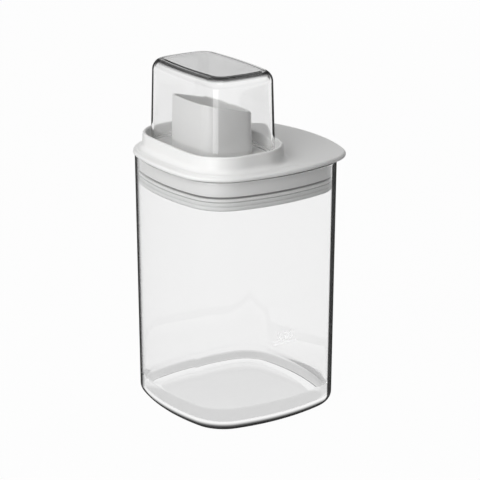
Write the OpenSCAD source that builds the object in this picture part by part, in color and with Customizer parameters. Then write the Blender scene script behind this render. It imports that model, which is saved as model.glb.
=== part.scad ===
// Storage bottle for laundry detergent, about one litre. A clear square container is closed by
// a white push-in lid, whose spout is covered by a clear measuring cup turned upside down.
// Z is up, the origin is the centre of the base, -Y is the pouring side, +Y the lifting lip.

/* [Container] */
// Outside width at the rim
body_w = 100; // [90:1:120]
// Outside depth at the rim
body_d = 100.4; // [90:0.2:120]
// Height from the base to the rim
body_h = 144; // [90:1:200]
// Radius of the upright corners
body_corner_r = 24.3; // [18:0.1:30]
// Radius of the barrelled sides, seen from above
body_side_r = 120; // [100:1:300]
// How much each side leans in from the rim to the base
body_draft = 1.1; // [0.4:0.1:2.5]
// Thickness of the walls
body_wall = 2.2; // [1.6:0.1:3]
// Thickness of the floor
body_floor = 3.2; // [2:0.1:5]
// Radius of the outside edge round the base
base_edge_r = 5.5; // [3:0.1:8]
// Radius inside, between the walls and the floor
floor_edge_r = 11; // [2:0.1:12]

/* [Lid edge] */
// Overhang of the lid past the container at the sides
edge_side = 0.4; // [0.2:0.1:3]
// Overhang of the lid past the container at the front
edge_front = 1.6; // [0.2:0.1:3]
// Reach of the lifting lip past the container at the back
lip_reach = 7.1; // [3:0.1:12]
// Height of the lid's edge
edge_h = 3.1; // [2.4:0.1:5]
// Corner radius of the lid's edge at the front
edge_front_r = 29; // [24:0.5:34]
// Corner radius of the lid's edge at the lip
edge_back_r = 21; // [16:0.5:28]
// Radius of the lid's long curves at the sides and front
edge_side_r = 128; // [110:1:300]
// Radius of the lip's long curve
lip_curve_r = 98; // [80:1:300]
// Thickness of the lid's mouldings
lid_wall = 1.8; // [1.2:0.1:2.2]
// How far the skirt reaches down into the container
skirt_h = 8.5; // [6:0.1:14]
// Clearance of the skirt inside the container
skirt_gap = 0.5; // [0.3:0.05:0.8]

/* [Collar and cup recess] */
// Lid edge to the collar's outside, at the sides
shoulder_side = 8; // [6:0.1:14]
// Lid edge to the collar's outside, at the front
shoulder_front = 7; // [6:0.1:14]
// Depth of the recess inside the collar, front to back
recess_d = 55.6; // [50:0.1:66]
// Corner radius of the recess
recess_r = 21; // [16:0.5:24]
// Radius of the recess's short curves, left and right
recess_end_r = 210; // [150:10:600]
// Radius of the recess's long curves, front and back
recess_front_r = 410; // [200:10:600]
// Top of the collar above the container's rim
collar_h = 12.6; // [10:0.1:18]
// Radius where the collar meets the shoulder
fillet_r = 3.2; // [1.5:0.1:3.2]
// Rise of the lid's top from its edge to the collar
crown = 0.5; // [0:0.1:1]
// How much the collar widens from its top to its foot
collar_flare = 0.3; // [0:0.1:0.5]
// Floor of the recess above the container's rim
recess_h = 5.5; // [4.5:0.1:7]

/* [Measuring cup] */
// Height of the cup
cup_h = 48.3; // [40:0.1:70]
// Thickness of the cup's walls
cup_wall = 1.8; // [1.2:0.1:2.2]
// Thickness of the cup's bottom, which is on top when it is the cap
cup_bottom = 2.2; // [1.6:0.1:3]
// Radius of the edge round the cup's bottom
cup_edge_r = 6.2; // [4:0.1:8]
// How much each side leans in from the rim to the bottom
cup_draft = 1.5; // [0.8:0.1:3]
// Corner radius at the rim
cup_r = 13.5; // [10:0.5:16]
// Radius of the cup's long curves, front and back
cup_front_r = 240; // [200:10:600]
// Radius of the cup's short curves, left and right
cup_end_r = 97; // [80:1:300]
// Width of the rim that stands out round the cup's mouth
rim_w = 2.1; // [1.2:0.1:2.4]
// Thickness of that rim
rim_h = 1.8; // [1.2:0.1:2.4]
// Gap between the rim and the collar at each end
rim_gap_x = 0.9; // [0.6:0.1:2]
// Gap between the rim and the collar at the front and back
rim_gap_y = 1.5; // [0.8:0.1:4]

/* [Spout] */
// Space between the spout's foot and the cup at each end
spout_gap_x = 15; // [10:0.5:18]
// Space between the spout's foot and the cup at the front and back
spout_gap_y = 4.9; // [3:0.1:7]
// Thickness of the spout's walls
spout_wall = 1.6; // [1.2:0.1:2.2]
// Corner radius of the spout
spout_r = 8.6; // [6:0.1:10]
// Radius of the spout's long curves
spout_side_r = 80; // [60:1:300]
// How much each side leans in from foot to lip
spout_draft = 0.7; // [0.2:0.1:1.2]
// Slant of the spout's open end
spout_slant = 14.3; // [0:0.1:20]
// Space between the spout's highest point and the cup
spout_headroom = 15; // [4:0.5:18]
// Width of the foot that snaps under the recess
foot_w = 3.4; // [2:0.1:5]
// Thickness of the foot
foot_h = 1.5; // [1.2:0.1:2.5]

/* [Plug and seal] */
// Height of the shadow groove between the skirt and the plug
groove_h = 1.2; // [0.6:0.1:2]
// Height of the plug's visible rib
rib_h = 1.6; // [1.2:0.1:3]
// Height of the silicone seal
seal_h = 5; // [4:0.1:8]
// Thickness of the seal behind its lips
seal_t = 2.1; // [1.6:0.1:2.8]
// How far the seal's lips stand out
seal_lip = 0.5; // [0.2:0.05:0.7]
// Gap between the relaxed seal and the container
seal_gap = 0.25; // [0.2:0.05:0.4]
// Number of lips round the seal
seal_lips = 2; // [1:1:3]
// How far the plug's bead stands out to hold the seal
bead_w = 1; // [0.5:0.1:1.4]
// Depth of the shadow groove
groove_in = 0.9; // [0.4:0.1:1.4]
// How far the plug's spigot goes up inside the skirt
spigot_h = 4; // [2:0.1:6]

/* [Hidden] */

// Points along each long curve and each corner of an outline, and along a rounded edge
side_steps = 3;
corner_steps = 7;
edge_steps = 5;
// Fit between pieces of the lid that are snapped together
snap_gap = 0.1;
// Small radius that breaks a moulded edge
soft_r = 0.6;

// A quarter outline is [half width, half depth, corner radius, side radius, end radius].
// Its corner circle touches both long curves from inside: this is that circle's centre.
function corner_centre(q) =
    let (ax = q[0] - q[3], by = q[1] - q[4])
    let (ra = q[3] - q[2], rb = q[4] - q[2], d = norm([ax, by]))
    let (s = (ra * ra - rb * rb + d * d) / (2 * d), h = sqrt(ra * ra - s * s))
    [ax - (ax * s + by * h) / d, (by * s - ax * h) / d];

// Points of a quarter outline, from the middle of its side to the middle of its end
function quarter(q) =
    let (c = corner_centre(q))
    let (a1 = atan2(c.y, c.x - q[0] + q[3]), a2 = atan2(c.y - q[1] + q[4], c.x))
    concat(
        [for (i = [0:side_steps - 1])
            [q[0] - q[3], 0] + q[3] * unit(a1 * i / side_steps)],
        [for (i = [0:corner_steps - 1])
            c + q[2] * unit(a1 + (a2 - a1) * i / corner_steps)],
        [for (i = [0:side_steps])
            [0, q[1] - q[4]] + q[4] * unit(a2 + (90 - a2) * i / side_steps)]);

function unit(angle) = [cos(angle), sin(angle)];

// A form is [front quarter, back quarter, y of its centre]
function form(front, back, y) = [front, back, y];

// The form's outline grown by a distance, as a ring of points at one height
function ring(f, grow, z) =
    let (g = grow * [1, 1, 1, 1, 1])
    let (a = quarter(f[1] + g), b = quarter(f[0] + g), k = len(a) - 1)
    concat(
        [for (i = [0:k - 1]) [a[i].x, a[i].y + f[2], z]],
        [for (i = [k:-1:1]) [-a[i].x, a[i].y + f[2], z]],
        [for (i = [0:k - 1]) [-b[i].x, f[2] - b[i].y, z]],
        [for (i = [k:-1:1]) [b[i].x, f[2] - b[i].y, z]]);

// A ring at the spout's slanted end: high at the front, low at the back
function slanted(r) = [for (p = r) [p.x, p.y, p.z - (p.y - recess_y) * tan(spout_slant)]];

// Rings of a form along a profile of [grow, z] points
function rings(f, profile) = [for (p = profile) ring(f, p[0], p[1])];

// Profile points of a rounded edge: centre, radius, first and last angle
function round_edge(centre, r, from, to) =
    [for (i = [0:edge_steps]) centre + r * unit(from + (to - from) * i / edge_steps)];

// Skin over a list of rings. The profile runs up the outside and down the inside. A loop
// joins its last ring to its first, and any other skin is capped at both ends.
module skin(list, loop = false) {
    n = len(list[0]);
    m = len(list);
    spans = loop ? m : m - 1;
    sides = [for (j = [0:spans - 1], i = [0:n - 1], half = [0, 1])
        let (up = (j + 1) % m * n, next = (i + 1) % n)
        half == 0 ? [j * n + i, up + next, j * n + next] : [j * n + i, up + i, up + next]];
    caps = loop ? [] : [[for (i = [0:n - 1]) i], [for (i = [n - 1:-1:0]) (m - 1) * n + i]];
    polyhedron(points = [for (r = list) each r], faces = concat(sides, caps));
}

// Container
body_q = [body_w / 2, body_d / 2, body_corner_r, body_side_r, body_side_r];
body = form(body_q, body_q, 0);
// How far the container's wall has leaned in at a height
function lean(z) = -body_draft * (1 - z / body_h);

// Lid edge: the front half follows the container, the back half reaches out to the lip
edge_x = body_w / 2 + edge_side;
edge_q_front = [edge_x, body_d / 2 + edge_front, edge_front_r, edge_side_r, edge_side_r];
edge_q_back = [edge_x, body_d / 2 + lip_reach, edge_back_r, edge_side_r, lip_curve_r];
lid_edge = form(edge_q_front, edge_q_back, 0);

// Recess inside the collar
collar_wall = lid_wall;
recess_x = edge_x - shoulder_side - collar_wall;
recess_y = recess_d / 2 + shoulder_front + collar_wall - body_d / 2 - edge_front;
recess_q = [recess_x, recess_d / 2, recess_r, recess_end_r, recess_front_r];
recess = form(recess_q, recess_q, recess_y);

// Cup at its mouth, and spout at its foot
cup_x = recess_x - rim_gap_x - rim_w;
cup_half_d = recess_d / 2 - rim_gap_y - rim_w;
cup_q = [cup_x, cup_half_d, cup_r, cup_end_r, cup_front_r];
cup = form(cup_q, cup_q, recess_y);
spout_x = cup_x - cup_wall - spout_gap_x;
spout_half_d = cup_half_d - cup_wall - spout_gap_y;
spout_q = [spout_x, spout_half_d, spout_r, spout_side_r, spout_side_r];
spout_form = form(spout_q, spout_q, recess_y);

// Heights
z_edge = body_h + edge_h;
z_recess = body_h + recess_h;
z_under_recess = z_recess - lid_wall;
z_collar = body_h + collar_h;
z_cup = z_recess + cup_h;
z_spout = z_cup - cup_bottom - spout_headroom - spout_half_d * tan(spout_slant);
z_foot = z_under_recess - foot_h;
z_skirt = body_h - skirt_h;
z_groove = z_skirt - groove_h;
z_rib = z_groove - rib_h;
z_seal = z_rib - seal_h;

// How far the cup's wall has leaned in at a height
function cup_lean(z) = -cup_draft * (z - z_recess) / cup_h;

// Distances in from the container's outside, down inside its mouth
skirt_in = -body_wall - skirt_gap;
rib_in = skirt_in + lean(z_skirt);
spigot_in = rib_in - lid_wall - snap_gap;
seal_in = -body_wall - seal_gap + lean(z_seal);
seat_in = seal_in - seal_lip - seal_t;

// Clear container: even walls, a thicker floor, and a rounded base and rim
module container() {
    inside_centre = [-body_wall - floor_edge_r, body_floor + floor_edge_r];
    outside = [for (p = round_edge([-base_edge_r, base_edge_r], base_edge_r, -90, 0))
        [p.x + lean(p.y), p.y]];
    rim = [[0, body_h - soft_r], [-soft_r, body_h], [soft_r - body_wall, body_h],
        [-body_wall, body_h - soft_r]];
    inside = [for (p = round_edge(inside_centre, floor_edge_r, 0, -90))
        [p.x + lean(p.y), p.y]];
    color("aliceblue", 0.35)
        skin(rings(body, concat(outside, rim, inside)));
}

// Lid cover: skirt, edge with its lifting lip, shoulder, collar and the floor of the recess
module lid_cover() {
    rim_r = collar_wall / 2;
    z_under_edge = z_edge - lid_wall;
    fillet_centre = [collar_wall + collar_flare + fillet_r, z_edge + crown + fillet_r];
    edge_centre = [-edge_h / 2, body_h + edge_h / 2];
    under = [[0, z_under_recess], [collar_flare, z_under_edge]];
    skirt = [[skirt_in - lid_wall, z_under_edge], [rib_in - lid_wall, z_skirt],
        [rib_in, z_skirt], [skirt_in, body_h]];
    edge = round_edge(edge_centre, edge_h / 2, -60, 90);
    shoulder = round_edge(fillet_centre, fillet_r, 270, 180);
    rim = round_edge([rim_r, z_collar - rim_r], rim_r, 0, 180);
    well = [[0, z_recess + soft_r], [-soft_r, z_recess]];
    color("whitesmoke")
        skin(concat(rings(recess, under), rings(body, skirt), rings(lid_edge, edge),
            rings(recess, concat(shoulder, rim, well)),
            rings(spout_form, [[snap_gap, z_recess], [snap_gap, z_under_recess]])),
            loop = true);
}

// Spout: a tube with a slanted open end, on a foot that snaps up under the recess
module spout() {
    wall_in = -spout_draft - spout_wall;
    foot = [[-spout_wall, z_foot], [foot_w, z_foot], [foot_w, z_under_recess],
        [0, z_under_recess]];
    lip = [[-spout_draft, -soft_r], [-spout_draft - spout_wall / 3, 0], [wall_in, 0]];
    color("gainsboro")
        skin(concat(rings(spout_form, foot),
            [for (p = lip) slanted(ring(spout_form, p[0], z_spout + p[1]))]),
            loop = true);
}

// Lid plug: rib, seat and bead for the seal, a plate, and a throat up to the spout
module lid_plug() {
    z_plate = z_groove - lid_wall;
    seat_back = seat_in - lid_wall;
    spigot_back = spigot_in - lid_wall;
    seat = [[seat_back, z_plate], [seat_back, z_seal], [seat_in + bead_w, z_seal],
        [seat_in + bead_w, z_seal + bead_w], [seat_in, z_seal + bead_w], [seat_in, z_rib]];
    rib = [[rib_in, z_rib], [rib_in, z_groove], [rib_in - groove_in, z_groove],
        [rib_in - groove_in, z_skirt]];
    spigot = [[spigot_in, z_skirt], [spigot_in, z_skirt + spigot_h],
        [spigot_back, z_skirt + spigot_h], [spigot_back, z_groove]];
    throat = [[0, z_groove], [0, z_foot], [-spout_wall, z_foot]];
    color("white")
        skin(concat(rings(spout_form, [[-spout_wall, z_plate]]),
            rings(body, concat(seat, rib, spigot)), rings(spout_form, throat)),
            loop = true);
}

// Silicone seal: a band with lips, stretched over the plug's bead
module lid_seal() {
    pitch = seal_h / seal_lips;
    root = seal_in - seal_lip;
    bead = [[seat_in + bead_w, z_seal + bead_w], [seat_in + bead_w, z_seal]];
    lips = [for (i = [0:seal_lips - 1], p = [[root, 0], [seal_in, 0.3], [seal_in, 0.7]])
        [p[0], z_seal + (i + p[1]) * pitch]];
    back = [[root, z_rib], [seat_in, z_rib], [seat_in, z_seal + bead_w]];
    color("silver", 0.8)
        skin(rings(body, concat(bead, lips, back)), loop = true);
}

// Measuring cup, upside down: it stands on its rim in the recess
module measuring_cup() {
    ceiling_r = cup_edge_r - cup_wall;
    z_ceiling = z_cup - cup_bottom;
    inside = [for (p = round_edge([-ceiling_r, z_ceiling - ceiling_r], ceiling_r, 90, 0))
        [p.x - cup_wall + cup_lean(p.y), p.y]];
    rim = [[-cup_wall, z_recess], [rim_w - soft_r, z_recess], [rim_w, z_recess + soft_r],
        [rim_w, z_recess + rim_h], [soft_r, z_recess + rim_h],
        [cup_lean(z_recess + rim_h + soft_r), z_recess + rim_h + soft_r]];
    top = [for (p = round_edge([-cup_edge_r, z_cup - cup_edge_r], cup_edge_r, 0, 90))
        [p.x + cup_lean(p.y), p.y]];
    color("aliceblue", 0.35)
        skin(rings(cup, concat(inside, rim, top)));
}

container();
lid_cover();
spout();
lid_plug();
lid_seal();
measuring_cup();
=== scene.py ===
# Detergent storage bottle: the visible pieces, their finishes, the studio and the camera.
import math
import bmesh
import bpy
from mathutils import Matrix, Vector


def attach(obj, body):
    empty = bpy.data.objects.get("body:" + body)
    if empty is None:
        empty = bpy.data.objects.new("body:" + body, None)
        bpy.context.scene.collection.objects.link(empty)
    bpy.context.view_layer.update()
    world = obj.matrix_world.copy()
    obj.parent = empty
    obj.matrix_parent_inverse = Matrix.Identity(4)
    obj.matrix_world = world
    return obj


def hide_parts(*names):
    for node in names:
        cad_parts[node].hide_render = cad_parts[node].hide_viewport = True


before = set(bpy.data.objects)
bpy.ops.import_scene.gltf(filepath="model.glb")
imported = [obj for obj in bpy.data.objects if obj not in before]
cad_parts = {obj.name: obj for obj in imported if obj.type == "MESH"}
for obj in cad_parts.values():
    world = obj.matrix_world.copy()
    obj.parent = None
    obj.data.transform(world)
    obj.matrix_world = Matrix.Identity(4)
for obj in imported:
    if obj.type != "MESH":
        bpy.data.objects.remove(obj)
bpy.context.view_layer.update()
MM = 0.001

# ---- Clear container ------------------------------------------------------------------------
# The bottle's body is one injection moulding of clear styrene plastic: four barrelled walls
# with large upright corners, a little wider at the rim than at the base so that it leaves the
# mould, with a rounded edge round a flat base and a thicker floor.
RING_SIDE, RING_CORNER = 9, 14      # points on half a long curve and on a corner of an outline
EDGE_STEPS = 10                     # steps round an edge in a section
HOLD, CAP_INSET = 0.35, 3.0         # mm, rings close to an edge that keep flat faces flat
DOUBLE = 1e-7                       # metres, below which two points are one


def corner_centre(half_x, half_y, corner, side_x, side_y):
    """Centre of the corner circle that touches both long curves of a quarter from inside."""
    ax, by = half_x - side_x, half_y - side_y
    ra, rb, d = side_x - corner, side_y - corner, math.hypot(ax, by)
    s = (ra * ra - rb * rb + d * d) / (2 * d)
    h = math.sqrt(ra * ra - s * s)
    return ax - (ax * s + by * h) / d, (by * s - ax * h) / d


def quarter(half_x, half_y, corner, side_x, side_y):
    """Points from the middle of a quarter's side, round its corner, to the middle of its end."""
    cx, cy = corner_centre(half_x, half_y, corner, side_x, side_y)
    a1 = math.atan2(cy, cx - half_x + side_x)
    a2 = math.atan2(cy - half_y + side_y, cx)
    arcs = ((half_x - side_x, 0, side_x, 0, a1, RING_SIDE),
            (cx, cy, corner, a1, a2, RING_CORNER),
            (0, half_y - side_y, side_y, a2, math.pi / 2, RING_SIDE))
    points = [(x + r * math.cos(a + (b - a) * i / n), y + r * math.sin(a + (b - a) * i / n))
              for x, y, r, a, b, n in arcs for i in range(n)]
    return points + [(0, half_y)]


class Form:
    """An outline with a front and a back half, from which rings are drawn at any height. A half
    is its half width, half depth, corner radius and the radii of its side and its end."""

    def __init__(self, front, back, y=0.0):
        self.front, self.back, self.y = front, back, y

    def ring(self, grow, z):
        a = quarter(*[v + grow for v in self.back])
        b = quarter(*[v + grow for v in self.front])
        k = len(a) - 1
        flat = ([(x, self.y + y) for x, y in a[:k]] + [(-x, self.y + y) for x, y in a[k:0:-1]]
                + [(-x, self.y - y) for x, y in b[:k]] + [(x, self.y - y) for x, y in b[k:0:-1]])
        return [Vector((x, y, z)) * MM for x, y in flat]

    def rings(self, profile):
        """Rings along a profile, whose points are (growth of the outline, height) in mm."""
        return [self.ring(grow, z) for grow, z in profile]


def round_edge(x, z, radius, start, stop, steps=EDGE_STEPS):
    """Profile points round an edge, with its angles in degrees."""
    angles = [math.radians(start + (stop - start) * i / steps) for i in range(steps + 1)]
    return [(x + radius * math.cos(a), z + radius * math.sin(a)) for a in angles]


def held(rings, marks):
    """The rings and their marks, with one more ring close to each end of a long span, so that
    its shading stays flat."""
    out = [(rings[0], marks[0])]
    for a, b, ma, mb in zip(rings, rings[1:], marks, marks[1:]):
        span = max((q - p).length for p, q in zip(a, b)) / MM
        shares = (HOLD / span, 1 - HOLD / span) if span > 4 * HOLD else ()
        out += [([p.lerp(q, t) for p, q in zip(a, b)], ma.lerp(mb, t)) for t in shares]
        out.append((b, mb))
    return out


PLAIN = (0.0, 0.0)                  # the mark of a ring with nothing special
CORNER_OUTLINE_SHARE = 1.25


def corner_share(i):
    """Corners get more of the painted dark outline than sides, as light runs further round a tight
    corner than along a side.
    """
    half = 2 * RING_SIDE + RING_CORNER
    j = min(i % (2 * half), 2 * half - i % (2 * half))
    return CORNER_OUTLINE_SHARE if RING_SIDE < j < RING_SIDE + RING_CORNER else 1.0


def new_piece(name, bm):
    """A mesh object made from a finished bmesh."""
    mesh = bpy.data.meshes.new(name)
    bm.to_mesh(mesh)
    bm.free()
    piece = bpy.data.objects.new(name, mesh)
    bpy.context.scene.collection.objects.link(piece)
    return piece


def loft(name, rings, loop=False, marks=None):
    """A piece whose edges are extruded from each ring to the next, closed into a loop or with a
    flat cap at each end. A ring's mark gives its share of the painted dark outline, and its share
    of painted shade whatever the angle; below nothing, that second share draws the ring clear."""
    marks = [Vector(mark) for mark in marks or [PLAIN] * len(rings)]
    rings = held(rings + rings[:1], marks + marks[:1]) if loop else held(rings, marks)
    bm = bmesh.new()
    step = bm.verts.layers.int.new("step")
    skin = bm.verts.layers.float.new("painted_outline_share")
    painted_shade = bm.verts.layers.float.new("painted_shade_or_clear")
    verts = bmesh.ops.create_circle(bm, segments=len(rings[0][0]), radius=1.0)["verts"]
    for i, v in enumerate(verts):
        v[step] = i
    edges = first = list(bm.edges)
    for i, (ring, mark) in enumerate(rings):
        if i:
            made = bmesh.ops.extrude_edge_only(bm, edges=edges)["geom"]
            verts = [g for g in made if isinstance(g, bmesh.types.BMVert)]
            edges = [g for g in made if isinstance(g, bmesh.types.BMEdge)]
        for v in verts:
            v.co = ring[v[step]]
            v[skin], v[painted_shade] = mark[0] * corner_share(v[step]), mark[1]
    if loop:
        bmesh.ops.remove_doubles(bm, verts=bm.verts, dist=DOUBLE)
    else:
        for end in (first, edges):
            cap = bmesh.ops.edgeloop_fill(bm, edges=end)["faces"]
            for width in (HOLD, CAP_INSET):
                bmesh.ops.inset_region(bm, faces=cap, thickness=width * MM, use_even_offset=True)
    bmesh.ops.recalc_face_normals(bm, faces=bm.faces)
    for f in bm.faces:
        f.smooth = True
    return new_piece(name, bm)


def linear(hex_colour):
    """A hex sRGB colour as linear RGBA."""
    values = [int(hex_colour[i:i + 2], 16) / 255 for i in (1, 3, 5)]
    return [v / 12.92 if v <= 0.04045 else ((v + 0.055) / 1.055) ** 2.4 for v in values] + [1.0]


def feed(tree, made, sockets):
    """Fills a node's sockets, named or counted, each with a number, a colour or a link."""
    for key, value in sockets.items():
        if isinstance(value, bpy.types.NodeSocket):
            tree.links.new(value, made.inputs[key])
        else:
            made.inputs[key].default_value = value


def node(tree, kind, sockets=None, **settings):
    """Adds a node with its settings and its sockets."""
    made = tree.nodes.new(kind)
    for key, value in settings.items():
        setattr(made, key, value)
    feed(tree, made, sockets or {})
    return made


def material(name):
    """A new material with its Principled shader and output, ready for its own nodes."""
    made = bpy.data.materials.new(name)
    made.use_nodes = True
    tree = made.node_tree
    return made, tree, tree.nodes["Principled BSDF"]


def per_mm(size):
    """The scale of a pattern whose features are this many mm across."""
    return 1 / (size * MM)


BODY_X, BODY_Y, BODY_H = 50.0, 50.2, 144.0
BODY_CORNER, BODY_SIDE = 24.3, 120.0
BODY_DRAFT, BODY_WALL, BODY_FLOOR = 1.1, 2.2, 3.2
BASE_EDGE, FLOOR_EDGE, RIM_EDGE = 5.5, 11.0, 0.6
RIM_STEPS = 4
body_half = (BODY_X, BODY_Y, BODY_CORNER, BODY_SIDE, BODY_SIDE)
body_form = Form(body_half, body_half)


def lean(profile):
    """Leans a profile of the container in towards its base."""
    return [(x - BODY_DRAFT * (1 - z / BODY_H), z) for x, z in profile]


outside = round_edge(-BASE_EDGE, BASE_EDGE, BASE_EDGE, -90, 0)
rim = round_edge(-RIM_EDGE, BODY_H - RIM_EDGE, RIM_EDGE, 0, 90, RIM_STEPS)
rim += round_edge(RIM_EDGE - BODY_WALL, BODY_H - RIM_EDGE, RIM_EDGE, 90, 180, RIM_STEPS)
inside = round_edge(-BODY_WALL - FLOOR_EDGE, BODY_FLOOR + FLOOR_EDGE, FLOOR_EDGE, 0, -90,
                    2 * EDGE_STEPS)

# The base's rounded edge gets a painted dark line, standing for plastic seen deep through itself,
# and the flat base and floor a faint painted shade. A share below nothing marks the hollow edge
# inside, drawn clear, through which light goes on almost straight.
base_painted_shade = [0.06, 0.12, 0.6] + [0.94] * 5 + [0.85, 0.4, 0.0]
floor_clear_and_shade = [0.0, -0.8] + [-1.0] * 17 + [0.0, 0.09]
container = loft("clear_container", body_form.rings(lean(outside + rim + inside)),
                 marks=[(1.0, painted_or_clear) for painted_or_clear in base_painted_shade + [0.0]]
                 + [PLAIN] * (len(rim) - 1) + [(0.0, painted_or_clear) for painted_or_clear in floor_clear_and_shade])

# Clear polystyrene, injection moulded in a polished steel mould: glossy and free of colour, it
# bends light strongly, and the walls ripple by a hair over some 45 mm as they cool.
RIPPLE_MM = 45.45
clear_styrene, tree, shader = material("clear_styrene_moulded")
place = node(tree, "ShaderNodeTexCoord").outputs
waves = node(tree, "ShaderNodeTexNoise",
             {"Vector": place["Object"], "Scale": per_mm(RIPPLE_MM), "Detail": 1.0})
ripple = node(tree, "ShaderNodeBump", {"Height": waves.outputs["Fac"], "Strength": 0.25,
                                       "Distance": 0.6 * MM})
feed(tree, shader, {"Base Color": linear("#FAFAFA"), "Roughness": 0.02, "IOR": 1.57,
                    "Transmission Weight": 1.0, "Normal": ripple.outputs["Normal"]})

# Where an upright wall turns edge-on, a dark shader is mixed in as a painted shade. It stands for
# the dark that clear plastic shows where the eye looks along it and not through it. Facing, over
# what a level upright wall has, says how far the wall has turned.
TURNED, EDGE_ON, EDGE_PAINTED_SHADE = 0.66, 0.74, 0.95
facing = node(tree, "ShaderNodeLayerWeight", {"Blend": 0.5})
vertical = node(tree, "ShaderNodeCombineXYZ", {"Z": 1.0})
above = node(tree, "ShaderNodeLayerWeight", {"Normal": vertical.outputs[0], "Blend": 0.5})
square_on = node(tree, "ShaderNodeMath", {0: 1.0, 1: facing.outputs["Facing"]},
                 operation="SUBTRACT")
height = node(tree, "ShaderNodeMath", {0: 1.0, 1: above.outputs["Facing"]}, operation="SUBTRACT")
angle = node(tree, "ShaderNodeMath", {0: height.outputs[0]}, operation="ARCSINE")
level = node(tree, "ShaderNodeMath", {0: angle.outputs[0]}, operation="COSINE")
beside = node(tree, "ShaderNodeMath", {0: square_on.outputs[0], 1: level.outputs[0]},
              operation="DIVIDE")
away = node(tree, "ShaderNodeMath", {0: 1.0, 1: beside.outputs[0]},
            operation="SUBTRACT", use_clamp=True)
skin = node(tree, "ShaderNodeAttribute", attribute_name="painted_outline_share")
turned = node(tree, "ShaderNodeMath", {0: away.outputs[0], 1: skin.outputs["Fac"]},
              operation="MULTIPLY")
edge_on = node(tree, "ShaderNodeMapRange",
               {"Value": turned.outputs[0], "From Min": TURNED, "From Max": EDGE_ON,
                "To Max": EDGE_PAINTED_SHADE}, interpolation_type="SMOOTHSTEP")
up = node(tree, "ShaderNodeSeparateXYZ", {0: place["Normal"]})
tilt = node(tree, "ShaderNodeMath", {0: up.outputs["Z"]}, operation="ABSOLUTE")
upright = node(tree, "ShaderNodeMapRange",
               {"Value": tilt.outputs[0], "From Min": 0.85, "From Max": 0.97, "To Min": 1.0,
                "To Max": 0.0}, interpolation_type="SMOOTHSTEP")
outline = node(tree, "ShaderNodeMath", {0: edge_on.outputs[0], 1: upright.outputs[0]},
               operation="MULTIPLY")

# The marked edges get the painted shade as dark from any side. From inside the plastic all of the
# painted shade shows less.
painted_or_clear = node(tree, "ShaderNodeAttribute", attribute_name="painted_shade_or_clear")
darker = node(tree, "ShaderNodeMath", {0: outline.outputs[0], 1: painted_or_clear.outputs["Fac"]},
              operation="MAXIMUM")
side = node(tree, "ShaderNodeNewGeometry")
from_inside = node(tree, "ShaderNodeMapRange",
                   {"Value": side.outputs["Backfacing"], "To Min": 1.0, "To Max": 0.35})
share = node(tree, "ShaderNodeMath", {0: darker.outputs[0], 1: from_inside.outputs[0]},
             operation="MULTIPLY")
# The painted shade: a near-black shader without gloss, mixed in by the share.
painted_shade = node(tree, "ShaderNodeBsdfPrincipled",
            {"Base Color": linear("#232323"), "Roughness": 0.4, "Specular IOR Level": 0.0})
solid = node(tree, "ShaderNodeMixShader",
             {0: share.outputs[0], 1: shader.outputs[0], 2: painted_shade.outputs[0]})

# Thin clear walls keep back about 8 per cent of the light, so their shadow is pale.
path = node(tree, "ShaderNodeLightPath")
passing = node(tree, "ShaderNodeMath",
               {0: path.outputs["Is Shadow Ray"], 1: path.outputs["Is Diffuse Ray"]},
               operation="MAXIMUM")
thin = node(tree, "ShaderNodeBsdfTransparent", {"Color": (0.92, 0.92, 0.92, 1)})
lit = node(tree, "ShaderNodeMixShader",
           {0: passing.outputs[0], 1: solid.outputs[0], 2: thin.outputs[0]})
hollow = node(tree, "ShaderNodeMath", {0: painted_or_clear.outputs["Fac"], 1: -1.0},
              operation="MULTIPLY", use_clamp=True)
unbent = node(tree, "ShaderNodeMath", {0: hollow.outputs[0], 1: side.outputs["Backfacing"]},
              operation="MULTIPLY")
straight = node(tree, "ShaderNodeBsdfTransparent")
seen = node(tree, "ShaderNodeMixShader",
            {0: unbent.outputs[0], 1: lit.outputs[0], 2: straight.outputs[0]})
feed(tree, tree.nodes["Material Output"], {"Surface": seen.outputs[0]})
container.data.materials.append(clear_styrene)
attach(container, "container")
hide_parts("container")

# ---- Filling mark ---------------------------------------------------------------------------
# A short bar and a plain number stand a little proud of the right-hand wall. They are part of
# the container's moulding, with a fine matt skin from the mould, so they look frosted, and a
# faint painted glow makes them a little lighter than the wall.
MARK_Z, MARK_LENGTH, MARK_BAR, MARK_PROUD = 48.0, 15.7, 1.2, 0.3
NUMBER, NUMBER_SIZE, NUMBER_GAP, STROKE_GROW, LETTER_SPACE = "350", 6.8, 1.6, 0.14, 1.1


def on_wall(y, z, proud):
    """A point over the right-hand wall, which is barrelled and leans in towards the base."""
    half_x = BODY_X - BODY_DRAFT * (1 - z / BODY_H)
    return Vector((half_x - BODY_SIDE + math.sqrt(BODY_SIDE ** 2 - y * y) + proud, y, z)) * MM


bar = bmesh.new()
bmesh.ops.create_grid(bar, x_segments=16, y_segments=1, size=0.5)
bmesh.ops.scale(bar, vec=(MARK_LENGTH, MARK_BAR, 1), verts=bar.verts)
bmesh.ops.solidify(bar, geom=bar.faces[:], thickness=MARK_PROUD)
text = bpy.data.curves.new("filling_number", "FONT")
text.body, text.size, text.align_x, text.extrude = NUMBER, NUMBER_SIZE, "CENTER", MARK_PROUD / 2
text.offset, text.space_character = STROKE_GROW, LETTER_SPACE
letters = bpy.data.objects.new("filling_number", text)
bpy.context.scene.collection.objects.link(letters)
bpy.context.view_layer.update()
lettering = letters.evaluated_get(bpy.context.evaluated_depsgraph_get())
number = bmesh.new()
number.from_mesh(bpy.data.meshes.new_from_object(lettering))
bpy.data.objects.remove(letters)
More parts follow.
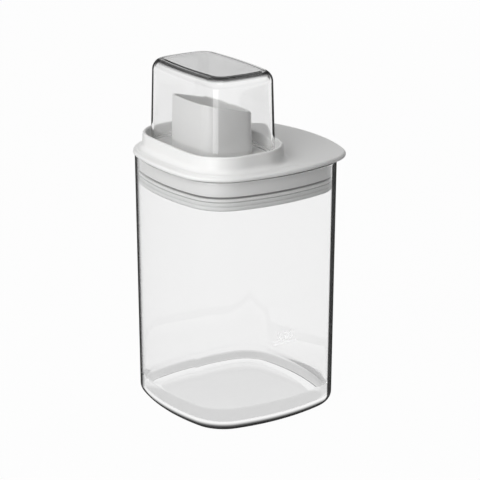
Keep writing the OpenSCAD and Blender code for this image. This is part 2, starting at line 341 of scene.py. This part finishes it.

# The same plastic with a matt skin, and a faint painted glow: its emission makes the mark a
# little lighter than the wall round it, standing for light that runs inside the clear wall and
# comes out where the skin is matt.
matt_with_painted_glow = clear_styrene.copy()
matt_with_painted_glow.name = "clear_styrene_matt_painted_glow"
matt_glow_shader = matt_with_painted_glow.node_tree.nodes["Principled BSDF"]
feed(matt_with_painted_glow.node_tree, matt_glow_shader, {"Roughness": 0.32, "Emission Strength": 0.1})
for name, bm, z in (("filling_bar", bar, MARK_Z), ("filling_number", number, MARK_Z + NUMBER_GAP)):
    low = min(v.co.z for v in bm.verts)
    for v in bm.verts:
        v.co = on_wall(v.co.x, z + v.co.y, v.co.z - low)
    bmesh.ops.remove_doubles(bm, verts=bm.verts, dist=DOUBLE)
    bmesh.ops.recalc_face_normals(bm, faces=bm.faces)
    mark = new_piece(name, bm)
    mark.data.materials.append(matt_with_painted_glow)
    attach(mark, "container")

# ---- Lid cover ------------------------------------------------------------------------------
# The white cover is a polypropylene moulding with a satin skin: a skirt that goes inside the
# container, an edge that reaches out at the back as a lip for the thumb, a soft shoulder, and
# a raised collar round the recess that the measuring cup stands in.
LID_EDGE_X, LID_FRONT, LID_BACK = 50.4, 51.8, 57.3
FRONT_CORNER, BACK_CORNER, EDGE_SIDE, LIP_CURVE = 29.0, 21.0, 128.0, 98.0
EDGE_H, EDGE_START, LID_WALL = 3.1, -60, 1.8
SKIRT_TOP, SKIRT_FOOT, SKIRT_Z, SKIRT_ROUND = -2.7, -2.765, 135.5, 0.4
RECESS_X, RECESS_Y, RECESS_MID = 40.6, 27.8, -15.2
RECESS_CORNER, RECESS_ENDS, RECESS_LONG = 21.0, 210.0, 410.0
Z_RECESS, Z_COLLAR, Z_EDGE = 149.5, 156.6, 147.1
CROWN, FILLET, FLARE, WELL_ROUND = 0.5, 3.2, 0.3, 0.6
SPOUT_X, SPOUT_Y, SPOUT_MID, SNAP = 20.8, 17.5, -15.2, 0.1
SPOUT_CORNER, SPOUT_CURVE = 8.6, 80.0
lid_edge = Form((LID_EDGE_X, LID_FRONT, FRONT_CORNER, EDGE_SIDE, EDGE_SIDE),
                (LID_EDGE_X, LID_BACK, BACK_CORNER, EDGE_SIDE, LIP_CURVE))
recess_half = (RECESS_X, RECESS_Y, RECESS_CORNER, RECESS_ENDS, RECESS_LONG)
recess = Form(recess_half, recess_half, RECESS_MID)
spout_half = (SPOUT_X, SPOUT_Y, SPOUT_CORNER, SPOUT_CURVE, SPOUT_CURVE)
spout_form = Form(spout_half, spout_half, SPOUT_MID)
z_under = Z_EDGE - LID_WALL
wall = LID_WALL / 2
under = recess.rings([(0, Z_RECESS - LID_WALL), (FLARE, z_under)])
skirt = body_form.rings(
    [(SKIRT_TOP - LID_WALL, z_under), (SKIRT_FOOT - LID_WALL, SKIRT_Z)]
    + round_edge(SKIRT_FOOT - SKIRT_ROUND, SKIRT_Z + SKIRT_ROUND, SKIRT_ROUND, -90, 0, RIM_STEPS)
    + [(SKIRT_TOP, BODY_H)])
edge = lid_edge.rings(round_edge(-EDGE_H / 2, BODY_H + EDGE_H / 2, EDGE_H / 2, EDGE_START, 90))
shoulder = round_edge(LID_WALL + FLARE + FILLET, Z_EDGE + CROWN + FILLET, FILLET, 270, 180)
collar = round_edge(wall, Z_COLLAR - wall, wall, 0, 180, 8)
well = round_edge(-WELL_ROUND, Z_RECESS + WELL_ROUND, WELL_ROUND, 0, -90, RIM_STEPS)
hole = spout_form.rings([(SNAP, Z_RECESS), (SNAP, Z_RECESS - LID_WALL)])
cover = loft("lid_cover_moulding",
             under + skirt + edge + recess.rings(shoulder + collar + well) + hole, loop=True)

# White polypropylene, injection moulded in a finely blasted mould: a soft satin sheen that
# wanders a little over some 36 mm, and a faint milkiness where light enters 1.5 mm deep. The
# mould's grain is about 0.1 mm, too fine to show, so it is drawn seven times as coarse.
GRAIN_MM, FLOW_MM, MILKY_MM = 0.714, 35.7, 1.5
white_pp, tree, shader = material("white_polypropylene_satin")
place = node(tree, "ShaderNodeTexCoord").outputs["Object"]
grain = node(tree, "ShaderNodeTexNoise",
             {"Vector": place, "Scale": per_mm(GRAIN_MM), "Detail": 2.0})
bump = node(tree, "ShaderNodeBump",
            {"Height": grain.outputs["Fac"], "Strength": 0.08, "Distance": 0.2 * MM})
flow = node(tree, "ShaderNodeTexNoise",
            {"Vector": place, "Scale": per_mm(FLOW_MM), "Detail": 3.0, "Distortion": 0.6})
gloss = node(tree, "ShaderNodeMapRange",
             {"Value": flow.outputs["Fac"], "From Min": 0.3, "From Max": 0.7,
              "To Min": 0.28, "To Max": 0.38})
# Marked rings, such as the plug's shadow groove, get painted shade: the white base colour is mixed
# towards mid grey there.
shade = node(tree, "ShaderNodeAttribute", attribute_name="painted_shade_or_clear")
colour_with_painted_shade = node(tree, "ShaderNodeMix",
            {0: shade.outputs["Fac"], 6: linear("#EDEDEC"), 7: linear("#8A8A8A")},
            data_type="RGBA")
feed(tree, shader, {"Base Color": colour_with_painted_shade.outputs[2], "IOR": 1.49, "Roughness": gloss.outputs[0],
                    "Subsurface Weight": 0.08, "Subsurface Radius": (1.0, 0.95, 0.9),
                    "Subsurface Scale": MILKY_MM * MM, "Normal": bump.outputs["Normal"]})
cover.data.materials.append(white_pp)
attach(cover, "lid")
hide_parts("lid_cover")

# ---- Spout ----------------------------------------------------------------------------------
# The spout is a separate white moulding that snaps up through the cover: a tube with thin
# walls, whose open end slants so that its front edge pours cleanly, on a flat foot.
SPOUT_WALL, SPOUT_DRAFT, FOOT_W, FOOT_H, Z_FOOT = 1.6, 0.7, 3.4, 1.5, 146.2
SLANT = math.tan(math.radians(14.3))
CUP_TOP, CUP_BOTTOM, TIP_ROOM = 197.8, 2.2, 15.0    # the tip stays this far under the cup
Z_SPOUT = CUP_TOP - CUP_BOTTOM - TIP_ROOM - SPOUT_Y * SLANT


def slanted(ring):
    """A ring of the spout's open end: high at the front, low at the back."""
    return [Vector((p.x, p.y, p.z - (p.y - SPOUT_MID * MM) * SLANT)) for p in ring]


foot = spout_form.rings([(-SPOUT_WALL, Z_FOOT), (FOOT_W, Z_FOOT),
                         (FOOT_W, Z_FOOT + FOOT_H), (0, Z_FOOT + FOOT_H)])
lip = round_edge(-SPOUT_DRAFT - SPOUT_WALL / 2, -SPOUT_WALL / 2, SPOUT_WALL / 2, 0, 180, 8)
open_end = [slanted(spout_form.ring(x, Z_SPOUT + z)) for x, z in lip]
spout = loft("pouring_spout", foot + open_end, loop=True)
spout.data.materials.append(white_pp)
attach(spout, "lid")
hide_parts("spout")

# ---- Lid plug -------------------------------------------------------------------------------
# The plug is a white polypropylene moulding that closes the lid from below and is seen through
# the container as a narrow rib under a shadow groove. Behind the seal it has a bead, and inside
# a plate with a throat that leads up to the spout.
RIB_IN, RIB_ROUND, SEAT_IN, BEAD = -2.765, 0.3, -5.174, 1.0
Z_GROOVE, Z_RIB, Z_SEAL, Z_PLATE = 134.3, 132.7, 127.7, 132.5
GROOVE_DEPTH, GROOVE_SHADE = 1.7, 1.0
SPIGOT_IN, SPIGOT_TOP = -4.665, 139.5
seat = [(SEAT_IN - LID_WALL, Z_PLATE), (SEAT_IN - LID_WALL, Z_SEAL), (SEAT_IN + BEAD, Z_SEAL),
        (SEAT_IN + BEAD, Z_SEAL + BEAD), (SEAT_IN, Z_SEAL + BEAD), (SEAT_IN, Z_RIB)]
rib = round_edge(RIB_IN - RIB_ROUND, Z_RIB + RIB_ROUND, RIB_ROUND, -90, 0, 3)
rib += round_edge(RIB_IN - RIB_ROUND, Z_GROOVE - RIB_ROUND, RIB_ROUND, 0, 90, 3)
groove = [(RIB_IN - GROOVE_DEPTH, Z_GROOVE), (RIB_IN - GROOVE_DEPTH, SKIRT_Z)]
spigot = [(SPIGOT_IN, SKIRT_Z), (SPIGOT_IN, SPIGOT_TOP),
          (SPIGOT_IN - LID_WALL, SPIGOT_TOP), (SPIGOT_IN - LID_WALL, Z_GROOVE)]
bore = spout_form.rings([(-SPOUT_WALL, Z_PLATE)])
throat = spout_form.rings([(0, Z_GROOVE), (0, Z_FOOT), (-SPOUT_WALL, Z_FOOT)])
# The groove's rings are marked for painted shade, which darkens the white inside it.
plug_marks = ([PLAIN] * len(bore + seat + rib) + [(0, GROOVE_SHADE)] * len(groove)
              + [PLAIN] * len(spigot + throat))
plug = loft("lid_plug_moulding", bore + body_form.rings(seat + rib + groove + spigot) + throat,
            loop=True, marks=plug_marks)
plug.data.materials.append(white_pp)
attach(plug, "lid")
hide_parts("lid_plug")

# ---- Silicone seal --------------------------------------------------------------------------
# A soft band of translucent silicone, moulded with two lips and stretched over the plug's
# bead. It rubs on the container's wall, which makes the lid airtight.
SEAL_IN, SEAL_LIP, SEAL_H, SEAL_LIPS = -2.575, 0.5, 5.0, 2
LIP_SHAPE = ((0.1, 0.2), (0.0, 0.35), (0.0, 0.65), (0.1, 0.8))  # mm inside the tip, share of pitch
ROOT_SHADE, GAP_SHADE = 0.25, 1.0   # shade between the lips, and in the gap under the rib
pitch = SEAL_H / SEAL_LIPS
root = SEAL_IN - SEAL_LIP
lips, lip_marks = [], []
for i in range(SEAL_LIPS):
    z = Z_SEAL + i * pitch
    lips += [(root, z)] + [(SEAL_IN - inward, z + up * pitch) for inward, up in LIP_SHAPE]
    lip_marks += [(0, ROOT_SHADE)] + [PLAIN] * len(LIP_SHAPE)
back = [(root, Z_RIB), (SEAT_IN, Z_RIB), (SEAT_IN, Z_SEAL + BEAD)]
band = [(SEAT_IN + BEAD, Z_SEAL + BEAD), (SEAT_IN + BEAD, Z_SEAL)] + lips + back
# The roots between the lips and the gap under the rib are marked for painted shade.
seal_marks = [PLAIN] * 2 + lip_marks + [(0, GAP_SHADE)] + [PLAIN] * 2
seal = loft("silicone_seal", body_form.rings(band), loop=True, marks=seal_marks)

# Silicone rubber, pressed in a heated mould: light goes 2.5 mm into it, so it looks soft and
# milky, and a dull bloom lies on it in patches of about 11 mm. Its skin is finer than 0.1 mm
# and is drawn some five times as coarse.
BLOOM_MM, SKIN_MM, MILKY_DEEP_MM = 11.1, 0.556, 2.5
silicone, tree, shader = material("silicone_rubber_translucent")
place = node(tree, "ShaderNodeTexCoord").outputs["Object"]
bloom = node(tree, "ShaderNodeTexNoise",
             {"Vector": place, "Scale": per_mm(BLOOM_MM), "Detail": 4.0})
matt = node(tree, "ShaderNodeMapRange",
            {"Value": bloom.outputs["Fac"], "From Min": 0.3, "From Max": 0.7,
             "To Min": 0.42, "To Max": 0.6})
skin_grain = node(tree, "ShaderNodeTexNoise", {"Vector": place, "Scale": per_mm(SKIN_MM)})
skin_bump = node(tree, "ShaderNodeBump",
                 {"Height": skin_grain.outputs["Fac"], "Strength": 0.1, "Distance": 0.2 * MM})
# Marked rings get painted shade: the silicone's colour is mixed towards grey there.
shade = node(tree, "ShaderNodeAttribute", attribute_name="painted_shade_or_clear")
colour_with_painted_shade = node(tree, "ShaderNodeMix",
            {0: shade.outputs["Fac"], 6: linear("#E6E7E6"), 7: linear("#7A7B7A")},
            data_type="RGBA")
feed(tree, shader, {"Base Color": colour_with_painted_shade.outputs[2], "IOR": 1.41, "Roughness": matt.outputs[0],
                    "Subsurface Weight": 0.35, "Subsurface Radius": (1.0, 1.0, 1.0),
                    "Subsurface Scale": MILKY_DEEP_MM * MM,
                    "Normal": skin_bump.outputs["Normal"]})
seal.data.materials.append(silicone)
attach(seal, "lid")
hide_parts("lid_seal")

# ---- Measuring cup --------------------------------------------------------------------------
# The cup is a clear moulding of the same plastic as the container. Turned upside down it caps
# the spout: its mouth has a narrow rim that stands in the recess, its bottom is on top.
CUP_X, CUP_Y, CUP_H, CUP_WALL = 37.6, 24.2, 48.3, 1.8
CUP_CORNER, CUP_ENDS, CUP_LONG, CUP_EDGE, CUP_DRAFT = 13.5, 97.0, 240.0, 6.2, 1.5
RIM_W, RIM_H, RIM_ROUND, RIM_FILLET = 2.1, 1.8, 0.4, 0.6
cup_half = (CUP_X, CUP_Y, CUP_CORNER, CUP_ENDS, CUP_LONG)
cup_form = Form(cup_half, cup_half, SPOUT_MID)


def cup_lean(profile):
    """Leans a profile of the cup in towards its bottom, which is on top."""
    return [(x - CUP_DRAFT * (z - Z_RECESS) / CUP_H, z) for x, z in profile]


ceiling = CUP_EDGE - CUP_WALL
z_ceiling = CUP_TOP - CUP_BOTTOM - ceiling
z_rim = Z_RECESS + RIM_H
cup_in = round_edge(-CUP_WALL - ceiling, z_ceiling, ceiling, 90, 0)
mouth = round_edge(RIM_ROUND - CUP_WALL, Z_RECESS + RIM_ROUND, RIM_ROUND, 180, 270, RIM_STEPS)
mouth += round_edge(RIM_W - RIM_FILLET, Z_RECESS + RIM_FILLET, RIM_FILLET, -90, 0, RIM_STEPS)
mouth += round_edge(RIM_W - RIM_ROUND, z_rim - RIM_ROUND, RIM_ROUND, 0, 90, RIM_STEPS)
mouth += round_edge(RIM_FILLET, z_rim + RIM_FILLET, RIM_FILLET, 270, 180, RIM_STEPS)
top_edge = round_edge(-CUP_EDGE, CUP_TOP - CUP_EDGE, CUP_EDGE, 0, 90)

# The painted dark outline of the wall fades in over the first 12 mm above the rim, where the
# collar stands round it, and the rounded edge of the top gets a painted dark band, standing for
# plastic seen deep through itself.
fade = ((1.5, 0.51), (9.0, 0.67), (12.0, 0.98))     # mm above the rim, share of painted outline
top_painted_shade = [0.0] * 5 + [0.35, 0.92, 0.85, 0.2] + [0.0] * 2
cup_out = [(0, z_rim + up) for up, _ in fade] + top_edge
cup_marks = [PLAIN] * len(cup_in + mouth) + [(share, 0.0) for _, share in fade]
cup = loft("measuring_cup_moulding", cup_form.rings(cup_lean(cup_in + mouth + cup_out)),
           marks=cup_marks + [(0.94, painted_or_clear) for painted_or_clear in top_painted_shade])
cup.data.materials.append(clear_styrene)
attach(cup, "cup")
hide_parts("measuring_cup")

# ---- Studio ---------------------------------------------------------------------------------
# A pale paper floor under plain soft light, with a background that stays white behind the
# bottle. The paper lies a hair above the base, so that the clear base takes light from it.
FLOOR_HALF, CONTACT = 20.0, 0.05 * MM
bm = bmesh.new()
bmesh.ops.create_grid(bm, x_segments=1, y_segments=1, size=FLOOR_HALF)
bmesh.ops.translate(bm, vec=(0, 0, CONTACT), verts=bm.verts)
floor = new_piece("studio_floor", bm)

# Matt white paper. Nearly all of what the eye sees of it, straight or through the bottle, is
# its plain white, the rest keeps the shadow, and gloss mirrors it weakly.
PAPER_WHITE, PAPER_MIRRORED = 0.97, 0.3
paper, tree, shader = material("white_paper_floor")
feed(tree, shader, {"Base Color": linear("#D0D0D0"), "Roughness": 0.9})
path = node(tree, "ShaderNodeLightPath")
mirrored = node(tree, "ShaderNodeMath", {0: path.outputs["Is Glossy Ray"], 1: PAPER_MIRRORED},
                operation="MULTIPLY")
direct = node(tree, "ShaderNodeMath", {0: path.outputs["Is Camera Ray"], 1: mirrored.outputs[0]},
              operation="MAXIMUM")
seen = node(tree, "ShaderNodeMath",
            {0: direct.outputs[0], 1: path.outputs["Is Transmission Ray"]}, operation="MAXIMUM")
white = node(tree, "ShaderNodeMath", {0: seen.outputs[0], 1: PAPER_WHITE}, operation="MULTIPLY")
glow = node(tree, "ShaderNodeEmission", {"Color": (1, 1, 1, 1), "Strength": 1.0})
mixed = node(tree, "ShaderNodeMixShader",
             {0: white.outputs[0], 1: shader.outputs[0], 2: glow.outputs[0]})
feed(tree, tree.nodes["Material Output"], {"Surface": mixed.outputs[0]})
floor.data.materials.append(paper)

# The room: white at the horizon, dim above it and bright again overhead, as a ceiling over
# dark upper walls, for what glass and gloss show. It adds only a little light of its own.
ROOM_DIM, ROOM_OVERHEAD, ROOM_LIGHT = 0.12, 0.9, 0.10
world = bpy.data.worlds.new("studio_world")
bpy.context.scene.world = world
world.use_nodes = True
world.cycles.sampling_method = "NONE"   # else a soft surface would be lit by the whole room
tree = world.node_tree
path = node(tree, "ShaderNodeLightPath")
generated = node(tree, "ShaderNodeTexCoord").outputs["Generated"]
direction = node(tree, "ShaderNodeSeparateXYZ", {0: generated})
upper_walls = node(tree, "ShaderNodeMapRange",
                   {"Value": direction.outputs["Z"], "From Min": 0.05, "From Max": 0.3,
                    "To Min": 1.0, "To Max": ROOM_DIM}, interpolation_type="SMOOTHSTEP")
overhead = node(tree, "ShaderNodeMapRange",
                {"Value": direction.outputs["Z"], "From Min": 0.32, "From Max": 0.5,
                 "To Max": ROOM_OVERHEAD}, interpolation_type="SMOOTHSTEP")
walls = node(tree, "ShaderNodeMath", {0: upper_walls.outputs[0], 1: overhead.outputs[0]},
             operation="MAXIMUM")
room = node(tree, "ShaderNodeMix",
            {0: path.outputs["Is Diffuse Ray"], 2: walls.outputs[0], 3: ROOM_LIGHT},
            data_type="FLOAT")
camera_white = node(tree, "ShaderNodeMath",
                    {0: path.outputs["Is Camera Ray"], 1: room.outputs[0]}, operation="MAXIMUM")
feed(tree, tree.nodes["Background"], {"Color": (1, 1, 1, 1), "Strength": camera_white.outputs[0]})

MIDDLE = Vector((0, 0, 0.12))


def soft_box(name, place, size, power):
    """A square soft box that faces the middle of the bottle."""
    lamp = bpy.data.lights.new(name, "AREA")
    lamp.shape, lamp.size, lamp.energy = "SQUARE", size, power
    made = bpy.data.objects.new(name, lamp)
    made.location = place
    made.rotation_euler = (MIDDLE - Vector(place)).to_track_quat("-Z", "Y").to_euler()
    bpy.context.scene.collection.objects.link(made)
    return made


# The key lights the pouring side, the top box the lid, and the fill the back. Key and fill
# don't show in glass. The low box gives the upright highlight on the clear walls and no light.
key = soft_box("key_soft_box", (0.645, -1.597, 0.92), 1.4, 33.0)
fill = soft_box("fill_soft_box", (-1.10, 1.20, 0.50), 1.0, 8.0)
soft_box("top_soft_box", (0.10, -0.20, 1.60), 0.5, 3.5)
low = soft_box("low_soft_box", (0.283, -0.471, 0.10), 0.24, 0.55)
for lamp in (key, fill):
    lamp.visible_glossy = lamp.visible_transmission = False
low.visible_camera = low.visible_diffuse = low.visible_transmission = False

# ---- Camera ---------------------------------------------------------------------------------
# It looks at the corner between the pouring side and the right-hand side from a little above.
AZIMUTH, ELEVATION = math.radians(56.2), math.radians(18.37)
DISTANCE, LENS, SENSOR, SIDE, HEIGHT = 1.080, 143.42, 36.0, 0.00268, 0.09388
level_back = Vector((math.sin(AZIMUTH), -math.cos(AZIMUTH), 0))
right = Vector((math.cos(AZIMUTH), math.sin(AZIMUTH), 0))
back = level_back * math.cos(ELEVATION) + Vector((0, 0, math.sin(ELEVATION)))
camera_data = bpy.data.cameras.new("product_camera")
camera_data.lens, camera_data.sensor_width = LENS, SENSOR
camera = bpy.data.objects.new("product_camera", camera_data)
camera.location = back * DISTANCE + right * SIDE + Vector((0, 0, HEIGHT))
camera.rotation_euler = (-back).to_track_quat("-Z", "Y").to_euler()
bpy.context.scene.collection.objects.link(camera)
bpy.context.scene.camera = camera
bpy.context.scene.view_settings.view_transform = "Standard"
